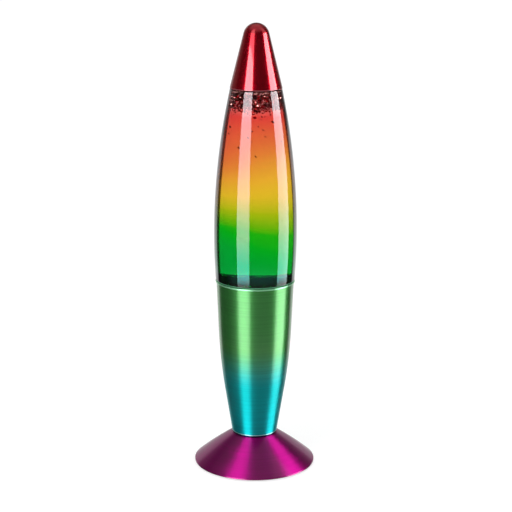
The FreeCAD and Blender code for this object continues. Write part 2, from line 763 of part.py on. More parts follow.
def cap_shell():
    """Spun cone with a round tip, open below."""
    centre = f"({CAP_Z} + {CAP_RISE})"
    inner = "(cap_tip_radius - cap_wall)"
    return turned("cap_shell", [
        (CAP_R, CAP_Z),
        (f"cap_tip_radius * cos({CAP_LEAN})", f"{centre} + cap_tip_radius * sin({CAP_LEAN})"),
        ("0", f"{centre} + cap_tip_radius", "cap_tip_radius", "left"),
        ("0", f"{centre} + {inner}"),
        (f"{inner} * cos({CAP_LEAN})", f"{centre} + {inner} * sin({CAP_LEAN})", inner, "right"),
        (f"{CAP_R} - cap_wall / cos({CAP_LEAN})", CAP_Z),
    ])


# Build, check and write

def build():
    """Every piece of the lamp, from the table up."""
    pieces = [foot_shell(), bottom_cover(), pad_ring(), cord_grommet(), cup_shell()]
    pieces += clamp()
    pieces += [holder_dome(), holder_core(), holder_skirt(), holder_sleeve(), holder_contact()]
    pieces += [terminal_screws()]
    pieces += bulb_base()
    pieces += [bulb_envelope(), bulb_stem(), bulb_filament()]
    pieces += [bottle_glass(), clear_liquid(), glitter_flakes(), crown_cap(), crown_liner()]
    pieces += [cap_shell()]
    return pieces


def check(pieces):
    """Stop on any feature that failed and any shape that is not a sound solid."""
    for item in DOC.Objects:
        if {"Invalid", "Error"} & set(item.State):
            raise RuntimeError(f"{item.Label} did not build: {item.State}")
    for piece in pieces:
        shape = piece.Shape
        if shape.isNull() or not shape.isValid() or not shape.Solids:
            raise RuntimeError(f"{piece.Label} has no sound solid")


fill_sheet()
PIECES = build()
DOC.recompute()
check(PIECES)
os.makedirs("parts", exist_ok=True)
for part_piece in PIECES:
    part_piece.Shape.exportStep(f"parts/{part_piece.Label}.step")
print(len(PIECES), "pieces written")
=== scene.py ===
"""Looks of the glitter lamp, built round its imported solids.

Metres, in the frame of the solids: +Z is up along the lamp's axis and the front faces -Y.
"""

import json
import math
import random

import bpy
from mathutils import Euler, Matrix, Vector


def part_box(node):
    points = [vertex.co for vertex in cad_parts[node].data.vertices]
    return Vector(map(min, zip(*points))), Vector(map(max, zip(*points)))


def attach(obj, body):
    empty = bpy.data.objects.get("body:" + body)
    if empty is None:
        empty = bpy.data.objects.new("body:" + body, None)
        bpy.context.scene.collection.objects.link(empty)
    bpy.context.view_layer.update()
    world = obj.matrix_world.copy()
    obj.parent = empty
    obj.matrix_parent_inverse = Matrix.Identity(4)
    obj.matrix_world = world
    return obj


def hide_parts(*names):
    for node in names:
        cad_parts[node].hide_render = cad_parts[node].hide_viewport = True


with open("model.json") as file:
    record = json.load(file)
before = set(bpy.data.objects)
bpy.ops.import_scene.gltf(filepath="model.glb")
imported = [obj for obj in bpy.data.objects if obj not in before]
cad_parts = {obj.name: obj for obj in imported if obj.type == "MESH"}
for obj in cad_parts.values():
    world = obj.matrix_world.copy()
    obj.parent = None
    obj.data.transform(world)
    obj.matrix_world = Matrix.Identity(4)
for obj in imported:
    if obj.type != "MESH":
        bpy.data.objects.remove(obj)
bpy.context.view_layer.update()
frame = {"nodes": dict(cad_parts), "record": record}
MM = 0.001
WHITE = (1, 1, 1, 1)

# Places read from the solids
RIM_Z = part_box("cup_shell")[1].z
BOTTLE_LOW, BOTTLE_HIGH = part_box("bottle_glass")
CAP_LOW, CAP_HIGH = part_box("cap_shell")
FOOT_LOW, FOOT_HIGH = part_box("foot_shell")
LIQUID_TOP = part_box("clear_liquid")[1].z
BULB_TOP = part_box("bulb_envelope")[1].z

# Bottle
SEAT_GAP = 0.3 * MM
CAP_GAP = 0.3 * MM
BELLY_RISE = 41 * MM
BELLY_SWELL = 1.55 * MM
SHOULDER_FALL = 14.2 * MM
SPIGOT_STEP = 3.05 * MM
HEEL_RADIUS = 3 * MM
LIP_RADIUS = 1.3 * MM
SHOULDER_RADIUS = 1.1 * MM
PUNT = 4 * MM
BASE_THICK = 4 * MM
GLASS_WALL = 2.4 * MM
COLLAR_STEP = 2.3 * MM
COLLAR_RISE = 11 * MM
NECK_STEP = 8.7 * MM
NECK_RISE = 8 * MM
NECK_WALL = 3.5 * MM
FINISH_LIP = 1.3 * MM
WETTING = 0.25 * MM
BOTTLE_ROUND = 0.4 * MM

SEAT_Z = RIM_Z + SEAT_GAP
BELLY_Z = SEAT_Z + BELLY_RISE
LEDGE_Z = CAP_LOW.z - CAP_GAP
NECK_Z = LEDGE_Z + COLLAR_RISE
FINISH_Z = NECK_Z + NECK_RISE
FLOOR_Z = BOTTLE_LOW.z + PUNT + BASE_THICK
BELLY_R = BOTTLE_HIGH.x
SEAT_R = BELLY_R - BELLY_SWELL
SPIGOT_R = SEAT_R - SPIGOT_STEP
LEDGE_R = BELLY_R - SHOULDER_FALL
COLLAR_R = LEDGE_R - COLLAR_STEP
NECK_R = COLLAR_R - NECK_STEP
BORE_R = NECK_R - NECK_WALL
LEDGE_RISE = LEDGE_Z - BELLY_Z
LOWER_SWEEP = (BELLY_RISE ** 2 + BELLY_SWELL ** 2) / (2 * BELLY_SWELL)
UPPER_SWEEP = (LEDGE_RISE ** 2 + SHOULDER_FALL ** 2) / (2 * SHOULDER_FALL)
LOWER_STEPS = 24
UPPER_STEPS = 48

# Flakes: a loose layer under the bottle's ledge, and larger strays below it
FLAKE_SEED = 11
FLAKE_COUNT = 4800
STRAY_COUNT = 30
FLAKE_SIDES = 6
FLAKE_RADIUS_MM = (0.34, 0.68)
FLAKE_THICK = 0.08 * MM
FLAKE_MARGIN = 1.2 * MM
LAYER_TOP = LEDGE_Z - GLASS_WALL - FLAKE_MARGIN
LAYER_DEPTH = 15 * MM
LAYER_CROWDING = 1.15
LAYER_FRAY = 1.6 * MM
STRAY_DEPTH = 45 * MM
STRAY_CROWDING = 1.8
STRAY_GROWTH = 2.0
STRAY_TILT = 0.3
# Strays keep to the dark tones, which are painted shade
STRAY_TONE = 0.3

# Cap
CAP_TIP_RADIUS = 11.6 * MM
CAP_WALL = 0.6 * MM
CAP_ROUND = 0.25 * MM

# Camera, fitted to the photograph
IMAGE_PX = 512
FOCAL_PX = 1547
SENSOR_MM = 36
CAMERA_PLACE = (0, -1.349, 0.541)
CAMERA_PITCH = math.radians(75.6)
CAMERA_ROLL = math.radians(0.28)
CAMERA_SHIFT_PX = 0.7


# Meshes

def arc(start, finish, radius, steps, turn="left"):
    """Points after start on an arc that turns left or right on its way to finish."""
    start, finish = Vector(start), Vector(finish)
    chord = finish - start
    side = Vector((-chord.y, chord.x)).normalized()
    reach = math.sqrt(max(radius ** 2 - chord.length_squared / 4, 0))
    centre = (start + finish) / 2 + side * (reach if turn == "left" else -reach)
    first = math.atan2(*(start - centre).yx)
    sweep = 2 * math.asin(min(chord.length / 2 / radius, 1))
    sweep = sweep if turn == "left" else -sweep
    angles = [first + sweep * (step + 1) / steps for step in range(steps)]
    return [(centre.x + radius * math.cos(a), centre.y + radius * math.sin(a)) for a in angles]


def add_piece(name, points, faces, materials):
    """A smooth mesh object in the scene."""
    mesh = bpy.data.meshes.new(name)
    mesh.from_pydata(points, [], faces)
    mesh.update()
    for finish in materials:
        mesh.materials.append(finish)
    mesh.shade_smooth()
    piece = bpy.data.objects.new(name, mesh)
    bpy.context.scene.collection.objects.link(piece)
    return piece


def lathe(name, outline, materials, changes=(), segments=192):
    """A closed solid turned from an outline that begins and ends on the axis.

    At each outline corner numbered in changes, the faces pass on to the next material.
    """
    points = [(0, 0, outline[0][1])]
    faces = []
    rings = outline[1:-1]
    for radius, height in rings:
        for step in range(segments):
            turn = 2 * math.pi * step / segments
            points.append((radius * math.cos(turn), radius * math.sin(turn), height))
    points.append((0, 0, outline[-1][1]))
    last = len(points) - 1
    top = 1 + (len(rings) - 1) * segments
    for step in range(segments):
        after = (step + 1) % segments
        faces.append((0, 1 + after, 1 + step))
    for index in range(len(rings) - 1):
        low = 1 + index * segments
        for step in range(segments):
            after = (step + 1) % segments
            faces.append((low + step, low + after, low + segments + after, low + segments + step))
    for step in range(segments):
        after = (step + 1) % segments
        faces.append((last, top + step, top + after))
    piece = add_piece(name, points, faces, materials)
    for number, corner in enumerate(changes):
        for face in piece.data.polygons[corner * segments:]:
            face.material_index = number + 1
    return piece


def round_edges(piece, width, sharp_degrees=35, segments=3):
    """Small rounds on the sharp edges of a piece."""
    bevel = piece.modifiers.new("rounds", "BEVEL")
    bevel.width = width
    bevel.segments = segments
    bevel.limit_method = "ANGLE"
    bevel.angle_limit = math.radians(sharp_degrees)
    bevel.harden_normals = True


# Nodes

NOISE_SPAN = (0.3, 0.7)


def node(tree, kind, inputs=None, **settings):
    """A node with its settings made and its inputs set, or linked where one is a socket."""
    made = tree.nodes.new(kind)
    for name, choice in settings.items():
        setattr(made, name, choice)
    for key, source in (inputs or {}).items():
        if isinstance(source, bpy.types.NodeSocket):
            tree.links.new(source, made.inputs[key])
        else:
            made.inputs[key].default_value = source
    return made


def feed(tree, shader, sources):
    """Sockets linked to a shader's inputs by name."""
    for name, source in sources.items():
        tree.links.new(source, shader.inputs[name])


def maths(tree, operation, first, *others):
    """An operation carried along numbers or sockets; one that takes a single number has no others."""
    result = first
    for other in others or (0.0,):
        result = node(tree, "ShaderNodeMath", {0: result, 1: other}, operation=operation).outputs[0]
    return result


def share(tree, source, low, high, to_low=0.0, to_high=1.0, smooth=False):
    """A number carried from one range to another, and held at its ends."""
    kind = "SMOOTHSTEP" if smooth else "LINEAR"
    ranged = {"Value": source, "From Min": low, "From Max": high, "To Min": to_low, "To Max": to_high}
    return node(tree, "ShaderNodeMapRange", ranged, interpolation_type=kind).outputs[0]


def leant(tree, source, across, lean):
    """A number less a share of another one."""
    return maths(tree, "SUBTRACT", source, maths(tree, "MULTIPLY", across, lean))


def mixed(tree, factor, first, second, blend="MIX"):
    """Two colours mixed; the node's colour sockets go by number, because their names repeat."""
    sockets = {0: factor, 6: first, 7: second}
    return node(tree, "ShaderNodeMix", sockets, data_type="RGBA", blend_type=blend).outputs[2]


def ramp(tree, factor, stops, smooth=False):
    """A colour ramp with stops of (position, colour)."""
    made = node(tree, "ShaderNodeValToRGB", {"Fac": factor})
    made.color_ramp.interpolation = "EASE" if smooth else "LINEAR"
    elements = made.color_ramp.elements
    while len(elements) < len(stops):
        elements.new(0.5)
    for element, (position, colour) in zip(elements, stops):
        element.position = position
        element.color = colour
    return made.outputs[0]


def axes_of(tree, place):
    """The X, Y and Z of a vector."""
    return node(tree, "ShaderNodeSeparateXYZ", {0: place}).outputs


def colour_by_height(tree, height, stops, smooth=False):
    """A ramp of (height, colour) stops."""
    low, high = stops[0][0], stops[-1][0]
    position = share(tree, height, low, high)
    return ramp(tree, position, [((z - low) / (high - low), colour) for z, colour in stops], smooth)


def noise(tree, place, scale, detail):
    """Noise between 0 and 1."""
    return node(tree, "ShaderNodeTexNoise", {"Vector": place, "Scale": scale, "Detail": detail}).outputs[0]


def stretched_noise(tree, place, scales, detail):
    """Noise with a scale of its own along each axis."""
    scaled = node(tree, "ShaderNodeMapping", {"Vector": place, "Scale": scales}).outputs[0]
    return noise(tree, scaled, scale=1.0, detail=detail)


def by_noise(tree, source, low, high):
    """A number that goes with a noise, low to high over the noise's usual span."""
    return share(tree, source, *NOISE_SPAN, low, high)


def noise_colour(tree, source, dark, light):
    """A colour that goes with a noise, dark to light over the noise's usual span."""
    return ramp(tree, source, list(zip(NOISE_SPAN, (dark, light))))


def set_bump(tree, shader, height, strength, distance):
    """A bump on the shader."""
    bump = node(tree, "ShaderNodeBump", {"Height": height, "Strength": strength, "Distance": distance})
    feed(tree, shader, {"Normal": bump.outputs[0]})


def srgb(red, green, blue):
    """A colour of 0 to 255 on the screen as a linear one."""
    parts = [value / 255 for value in (red, green, blue)]
    return (*[p / 12.92 if p <= 0.04045 else ((p + 0.055) / 1.055) ** 2.4 for p in parts], 1)


def grey(level):
    """A linear grey."""
    return (level, level, level, 1)


def material(name, **sockets):
    """A new material; returns it, its tree, its shader and its object coordinates."""
    made = bpy.data.materials.new(name)
    made.use_nodes = True
    tree = made.node_tree
    shader = next(item for item in tree.nodes if item.type == "BSDF_PRINCIPLED")
    for key, value in sockets.items():
        shader.inputs[key.replace("_", " ").title().replace("Ior", "IOR")].default_value = value
    place = node(tree, "ShaderNodeTexCoord").outputs["Object"]
    return made, tree, shader, place


# Lacquered metal

LACQUER_IOR = 1.5
# Painted shade: the colour of faces inside the cup and foot
INSIDE_PAINTED_SHADE = srgb(40, 42, 42)
BRUSH_LINES = (14, 14, 900)
BRUSH_HAIRS = (40, 40, 4200)
BRUSH_LINES_SHARE = 0.65
BRUSH_HAIRS_SHARE = 0.35
BRUSH_TONES = (0.82, 1.14)
BRUSH_ROUGHNESS = (0.41, 0.53)
BRUSH_ANISOTROPY = 0.93
QUARTER_TURN = 0.25
TEAL_Z = 78 * MM
GREEN_Z = 117 * MM
CAP_LINES = (700, 700, 14)
CAP_METAL_SHARE = 0.8
CAP_EDGE_METAL_SHARE = 0.1


def facing_in(tree, place):
    """1 where a face looks at the lamp's axis, 0 where it looks away from it."""
    normal = node(tree, "ShaderNodeNewGeometry").outputs["True Normal"]
    level = {0: place, 1: (1, 1, 0)}
    outward = node(tree, "ShaderNodeVectorMath", level, operation="MULTIPLY").outputs[0]
    along = node(tree, "ShaderNodeVectorMath", {0: normal, 1: outward}, operation="DOT_PRODUCT")
    return maths(tree, "LESS_THAN", along.outputs["Value"], 0.0)


def brushed(name, colour_stops, coat_stops, metal_share, coat_roughness):
    """Lacquered metal, brushed round the axis; faces that look inwards are bare of lacquer and coloured dark
    as painted shade.

    The lacquer's gloss changes by height between the two coat stops.
    """
    made, tree, shader, place = material(name, metallic=metal_share, specular_ior_level=0.0,
                                         anisotropic=BRUSH_ANISOTROPY, anisotropic_rotation=QUARTER_TURN,
                                         coat_roughness=coat_roughness, coat_ior=LACQUER_IOR)
    height = axes_of(tree, place)["Z"]
    lines = stretched_noise(tree, place, BRUSH_LINES, detail=4.0)
    hairs = stretched_noise(tree, place, BRUSH_HAIRS, detail=2.0)
    grain = maths(tree, "ADD", maths(tree, "MULTIPLY", lines, BRUSH_LINES_SHARE),
                  maths(tree, "MULTIPLY", hairs, BRUSH_HAIRS_SHARE))
    colour = colour_by_height(tree, height, colour_stops, smooth=True)
    lacquer = mixed(tree, 1.0, colour, by_noise(tree, grain, *BRUSH_TONES), "MULTIPLY")
    (thin_z, thin), (thick_z, thick) = coat_stops
    gloss = share(tree, height, thin_z, thick_z, thin, thick)
    # Faces that look inwards take painted shade and no lacquer coat
    inward = facing_in(tree, place)
    feed(tree, shader, {
        "Tangent": node(tree, "ShaderNodeTangent", direction_type="RADIAL", axis="Z").outputs[0],
        "Base Color": mixed(tree, inward, lacquer, INSIDE_PAINTED_SHADE),
        "Roughness": by_noise(tree, grain, *BRUSH_ROUGHNESS),
        "Coat Weight": share(tree, inward, 0, 1, gloss, 0),
    })
    set_bump(tree, shader, grain, strength=0.25, distance=0.05 * MM)
    return made


def foot_magenta():
    """Brushed magenta of the foot."""
    colour = srgb(155, 2, 111)
    coat = 0.55
    low, high = FOOT_LOW.z, FOOT_HIGH.z
    return brushed("foot_magenta", [(low, colour), (high, colour)], [(low, coat), (high, coat)],
                   metal_share=0.86, coat_roughness=0.1)


def cup_green():
    """Brushed green of the cup that runs to teal at its bottom, lighter there as painted light; at its foot a
    painted highlight over a band of painted shade, and a painted highlight along its rim.
    """
    green = srgb(56, 139, 60)
    teal = srgb(6, 150, 152)
    # Lighter teal low down, painted light that makes up for the foot's shade on reflections
    painted_light_teal = srgb(6, 163, 169)
    # Painted shade in the gap between the cup and the foot
    gap_shade = srgb(12, 8, 60)
    # Painted highlight on the cup's lower corner, for the floor's reflection
    corner_highlight = srgb(190, 240, 240)
    # Painted highlight along the rim
    rim_highlight = srgb(150, 230, 176)
    gap_shade_low = FOOT_HIGH.z
    gap_shade_high = gap_shade_low + 1.7 * MM
    corner_highlight_low = gap_shade_low + 1.9 * MM
    corner_highlight_high = gap_shade_low + 2.5 * MM
    teal_low = gap_shade_low + 2.8 * MM
    green_high = RIM_Z - 1.4 * MM
    rim_highlight_low = RIM_Z - 1.2 * MM
    colours = [
        (gap_shade_low, gap_shade), (gap_shade_high, gap_shade), (corner_highlight_low, corner_highlight), (corner_highlight_high, corner_highlight),
        (teal_low, painted_light_teal), (TEAL_Z, teal), (GREEN_Z, green), (green_high, green),
        (rim_highlight_low, rim_highlight), (RIM_Z, rim_highlight)]
    return brushed("cup_green", colours, [(TEAL_Z, 0.1), (GREEN_Z, 1.0)],
                   metal_share=0.74, coat_roughness=0.2)


def cap_red():
    """Polished red of the cap, with faint polishing lines and a bare lower edge whose pale pink is partly a
    painted highlight.
    """
    made, tree, shader, place = material("cap_red", specular_ior_level=0.0, specular_tint=srgb(110, 60, 60),
                                         coat_weight=1.0, coat_roughness=0.03, coat_ior=LACQUER_IOR)
    # Bare lower edge, partly wear and partly a painted highlight: pale pink shown through little metal
    bare_edge_highlight = srgb(160, 84, 92)
    bare_high = CAP_LOW.z + 0.5 * MM
    lacquer_low = CAP_LOW.z + 0.7 * MM
    lines = stretched_noise(tree, place, CAP_LINES, detail=4.0)
    lacquer = noise_colour(tree, lines, srgb(164, 4, 24), srgb(178, 6, 32))
    bare = share(tree, axes_of(tree, place)["Z"], lacquer_low, bare_high)
    feed(tree, shader, {
        "Base Color": mixed(tree, bare, lacquer, bare_edge_highlight),
        "Metallic": share(tree, bare, 0, 1, CAP_METAL_SHARE, CAP_EDGE_METAL_SHARE),
        "Roughness": by_noise(tree, lines, 0.2, 0.25),
    })
    set_bump(tree, shader, lines, strength=0.05, distance=0.02 * MM)
    return made


# Glass, liquid and flakes

GLASS_IOR = 1.5
LIQUID_IOR = 1.45

# The bottle's lacquer by height in millimetres: colour on the screen, tint of reflections and weight of gloss
LACQUER_COLOURS = (
    (150, (1, 163, 62)),
    (190, (1, 172, 51)),
    (212, (2, 185, 15)),
    (229, (143, 190, 4)),
    (244, (231, 196, 36)),
    (260, (250, 189, 48)),
    (292, (242, 122, 58)),
    (325, (239, 56, 62)),
    (335, (246, 160, 156)),
    (371, (244, 150, 147)),
)
LACQUER_TINTS = (
    (150, (0.05, 0.05, 0.05)),
    (176, (0.05, 0.05, 0.05)),
    (183, (0.05, 1, 1)),
    (197, (0.05, 1, 1)),
    (220, (1, 0.85, 1)),
    (260, (1, 0.75, 0.95)),
    (320, (1, 0.88, 0.95)),
    (345, (1, 0.84, 0.88)),
    (371, (1, 0.84, 0.88)),
)
LACQUER_COATS = ((150, 0.3), (176, 0.3), (183, 0.7), (245, 0), (318, 0), (332, 0.35), (371, 0.35))

# Spray: round SPRAY_Z the colours change over less height on the left than on the right; above it is even
SPRAY_Z = 247 * MM
SPRAY_REACH = 40 * MM
SPRAY_LEFT = 0.8
SPRAY_RIGHT = 0.28
SPRAY_EVEN = (285 * MM, 325 * MM)

# Painted shade on the rim of the glass, for the dark room seen through its edges; wider up its taper and on
# the left, and weaker beside the flakes
RIM_PAINTED_SHADE = (0.03, 0.02, 0.01, 1)
RIM_SPAN = (0.47, 0.54)
RIM_LEAN = 0.06
RIM_TAPER_SPAN = (220 * MM, 330 * MM)
RIM_TAPER = 0.11
RIM_FLAKES_SPAN = (328 * MM, 338 * MM)
RIM_FLAKES = 0.35

GLASS_STREAKS = (18, 18, 60)
GLASS_DRAW = (20, 20, 6)
LIQUID_SWIRL = (30, 30, 12)
SILVER_TONES = (0.75, 0.8)
BULB_FRONT_DEPTH = 16 * MM
BULB_FRONT_SOFT = 0.5 * MM
BULB_FRONT_CLEAR = 0.75


def sprayed_height(tree, height, across):
    """The height whose colour a point of the lacquer has."""
    left = share(tree, across, -BELLY_R, 0, SPRAY_LEFT, 0)
    right = share(tree, across, 0, BELLY_R, 0, SPRAY_RIGHT)
    rise = share(tree, height, SPRAY_Z - SPRAY_REACH, SPRAY_Z + SPRAY_REACH, -SPRAY_REACH, SPRAY_REACH)
    uneven = share(tree, height, *SPRAY_EVEN, 1, 0)
    shift = maths(tree, "MULTIPLY", rise, uneven, maths(tree, "SUBTRACT", left, right))
    return maths(tree, "ADD", height, shift)


def edge_on(tree):
    """1 where a face is seen edge on, 0 where it is seen at 45 degrees, and less towards square on."""
    facing = node(tree, "ShaderNodeLayerWeight", {"Blend": 0.5}).outputs["Facing"]
    cosine = maths(tree, "SUBTRACT", 1.0, facing)
    sine = maths(tree, "SQRT", maths(tree, "SUBTRACT", 1.0, maths(tree, "MULTIPLY", cosine, cosine)))
    return maths(tree, "SUBTRACT", 1.0, maths(tree, "DIVIDE", cosine, sine))


def rim_painted_shade(tree, height, across):
    """How much painted shade the glass takes where it is seen towards its edge."""
    taper = share(tree, height, *RIM_TAPER_SPAN, 0, RIM_TAPER)
    uneven = share(tree, across, -BELLY_R, BELLY_R, RIM_LEAN, -RIM_LEAN)
    turned = maths(tree, "ADD", edge_on(tree), maths(tree, "ADD", taper, uneven))
    bare = share(tree, height, *RIM_FLAKES_SPAN, 1, RIM_FLAKES)
    return maths(tree, "MULTIPLY", bare, share(tree, turned, *RIM_SPAN, smooth=True))


def lacquered_glass():
    """Clear glass under lacquer that runs from red through amber to green, with painted shade towards its
    edges.
    """
    made, tree, shader, place = material("lacquered_glass", transmission_weight=1.0, ior=GLASS_IOR,
                                         coat_roughness=0.02, coat_ior=LACQUER_IOR)
    axes = axes_of(tree, place)
    across, height = axes["X"], axes["Z"]
    colours = [(z * MM, srgb(*colour)) for z, colour in LACQUER_COLOURS]
    tints = [(z * MM, (*tint, 1)) for z, tint in LACQUER_TINTS]
    coats = [(z * MM, grey(weight)) for z, weight in LACQUER_COATS]
    colour = colour_by_height(tree, sprayed_height(tree, height, across), colours)
    # The lacquer's colour darkened as painted shade
    edge = mixed(tree, 1.0, colour, RIM_PAINTED_SHADE, "MULTIPLY")
    streaks = stretched_noise(tree, place, GLASS_STREAKS, detail=3.0)
    feed(tree, shader, {
        "Base Color": mixed(tree, rim_painted_shade(tree, height, across), colour, edge),
        "Roughness": by_noise(tree, streaks, 0.0, 0.02),
        "Specular Tint": colour_by_height(tree, height, tints),
        "Coat Weight": colour_by_height(tree, height, coats),
    })
    return made


def clear_glass():
    """Bare glass on the inside of the bottle, with a faint draw texture."""
    made, tree, shader, place = material("clear_glass", transmission_weight=1.0, roughness=0.0, ior=GLASS_IOR)
    draw = stretched_noise(tree, place, GLASS_DRAW, detail=2.0)
    feed(tree, shader, {"Base Color": noise_colour(tree, draw, (0.97, 0.985, 0.98, 1), (0.99, 1, 0.995, 1))})
    return made


def ground_lip_and_highlight():
    """Ground glass of the bottle's lower lip, whose pale green is partly a painted highlight."""
    made, tree, shader, place = material("ground_lip_and_highlight", transmission_weight=0.1, ior=GLASS_IOR)
    grit = noise(tree, place, scale=1500.0, detail=3.0)
    feed(tree, shader, {
        "Base Color": noise_colour(tree, grit, srgb(58, 140, 98), srgb(78, 160, 118)),
        "Roughness": by_noise(tree, grit, 0.32, 0.48),
    })
    return made


def liquid():
    """Clear liquid with faint schlieren."""
    made, tree, shader, place = material("liquid", transmission_weight=1.0, roughness=0.0, ior=LIQUID_IOR)
    swirl = stretched_noise(tree, place, LIQUID_SWIRL, detail=3.0)
    feed(tree, shader, {"Base Color": noise_colour(tree, swirl, (0.975, 0.985, 0.985, 1), WHITE)})
    return made


def flake_film():
    """Metallised film in tones from dark crimson to bright silver, which is smoother; the dark crimson tones
    are painted shade on silver film.
    """
    made, tree, shader, place = material("flakes", metallic=1.0)
    tone = node(tree, "ShaderNodeAttribute", attribute_name="flake_tone").outputs["Fac"]
    silver_low, silver_high = SILVER_TONES
    film = by_noise(tree, noise(tree, place, scale=900.0, detail=2.0), 0.28, 0.34)
    smoother = share(tree, tone, silver_low, silver_high, 0, 0.1)
    feed(tree, shader, {
        # Tones differ at random; the dark crimson ones are painted shade
        "Base Color": ramp(tree, tone, [
            (0.0, srgb(84, 3, 9)), (0.62, srgb(142, 14, 22)), (silver_low, srgb(186, 56, 66)),
            (silver_high, srgb(246, 240, 240)), (1.0, WHITE)]),
        "Roughness": maths(tree, "SUBTRACT", film, smoother),
    })
    return made


def bulb_glass():
    """Reflector bulb: silvered bowl below, frosted front above."""
    made, tree, shader, place = material("bulb_glass", ior=GLASS_IOR)
    front_z = BULB_TOP - BULB_FRONT_DEPTH
    front = share(tree, axes_of(tree, place)["Z"], front_z - BULB_FRONT_SOFT, front_z + BULB_FRONT_SOFT)
    frost = noise(tree, place, scale=1400.0, detail=3.0)
    feed(tree, shader, {
        "Base Color": noise_colour(tree, frost, srgb(226, 226, 224), srgb(244, 244, 242)),
        "Metallic": maths(tree, "SUBTRACT", 1.0, front),
        "Transmission Weight": maths(tree, "MULTIPLY", front, BULB_FRONT_CLEAR),
        "Roughness": share(tree, front, 0, 1, 0.12, 0.45),
    })
    set_bump(tree, shader, frost, strength=0.1, distance=0.05 * MM)
    return made


# Plain finishes

# Moulded slots: dark and light tone on the screen, roughness, scale of the grain and strength of its bump
MOULDED = {
    "black_plastic": ((22, 22, 23), (34, 34, 35), 0.5, 900.0, 0.3),
    "white_insulation": ((226, 224, 216), (238, 236, 230), 0.55, 600.0, 0.15),
    "soft_pad": ((34, 34, 35), (58, 58, 60), 0.85, 1600.0, 0.8),
    "black_rubber": ((20, 20, 20), (32, 32, 32), 0.62, 1200.0, 0.3),
    "black_glass": ((12, 12, 13), (22, 22, 24), 0.15, 300.0, 0.02),
    "seal": ((224, 222, 214), (238, 236, 230), 0.6, 700.0, 0.1),
}
MOULDED_SPREAD = 0.08

# Metal slots: dark and light tone on the screen, roughness and scale of the clouds
METALS = {
    "plated_steel": ((176, 178, 178), (206, 206, 202), 0.3, 500.0),
    "brass": ((190, 150, 76), (226, 190, 112), 0.26, 400.0),
    "solder": ((150, 150, 154), (196, 196, 200), 0.38, 900.0),
    "tungsten": ((110, 110, 114), (150, 150, 152), 0.36, 2000.0),
    "tinplate": ((186, 182, 170), (216, 212, 200), 0.28, 500.0),
}
METAL_SPREAD = 0.07


def moulded(name, dark, light, roughness, grain_scale, bump):
    """Moulded plastic, rubber or glass with a fine grain."""
    made, tree, shader, place = material(name)
    grain = noise(tree, place, grain_scale, detail=4.0)
    feed(tree, shader, {
        "Base Color": noise_colour(tree, grain, srgb(*dark), srgb(*light)),
        "Roughness": by_noise(tree, grain, roughness - MOULDED_SPREAD, roughness + MOULDED_SPREAD),
    })
    set_bump(tree, shader, grain, strength=bump, distance=0.1 * MM)
    return made


def plain_metal(name, dark, light, roughness, cloud_scale):
    """Bare or plated metal with a cloudy finish."""
    made, tree, shader, place = material(name, metallic=1.0)
    cloud = noise(tree, place, cloud_scale, detail=5.0)
    feed(tree, shader, {
        "Base Color": noise_colour(tree, cloud, srgb(*dark), srgb(*light)),
        "Roughness": by_noise(tree, cloud, roughness - METAL_SPREAD, roughness + METAL_SPREAD),
    })
    set_bump(tree, shader, cloud, strength=0.1, distance=0.05 * MM)
    return made


def slot_materials():
    """One material for each slot of the record."""
    materials = {
        "foot_magenta": foot_magenta(),
        "cup_green": cup_green(),
        "cap_red": cap_red(),
        "bulb_glass": bulb_glass(),
        "lacquered_glass": lacquered_glass(),
        "liquid": liquid(),
        "flakes": flake_film(),
    }
    for slot, finish in MOULDED.items():
        materials[slot] = moulded(slot, *finish)
    for slot, finish in METALS.items():
        materials[slot] = plain_metal(slot, *finish)
    return materials


MATERIALS = slot_materials()


def dress_solids():
    """Every solid takes the material of its slot."""
    for subpart in frame["record"]["subparts"]:
        solid = frame["nodes"][subpart["node"]]
        solid.data.materials.clear()
        solid.data.materials.append(MATERIALS[subpart["material_slot"]])


# Bottle and liquid

def swept_radius(sweep, inset, rise):
    """Radius of the bottle's wall at a rise from the belly, set in from its outer face."""
    return BELLY_R - sweep + math.sqrt((sweep - inset) ** 2 - rise ** 2)


def inside_outline(inset):
    """The bottle's inside from the axis up to the ledge, set in from the outer face."""
    floor = FLOOR_Z - GLASS_WALL + inset
    side = SPIGOT_R - inset
    low = (swept_radius(LOWER_SWEEP, inset, BELLY_RISE - inset), SEAT_Z + inset)
    belly = (BELLY_R - inset, BELLY_Z)
    high = (swept_radius(UPPER_SWEEP, inset, LEDGE_RISE - inset), LEDGE_Z - inset)
    outline = [(0, floor), (side, floor), (side, SEAT_Z), low]
    outline += arc(low, belly, LOWER_SWEEP - inset, LOWER_STEPS)
    outline += arc(belly, high, UPPER_SWEEP - inset, UPPER_STEPS)
    return outline + [(COLLAR_R - inset, LEDGE_Z)]


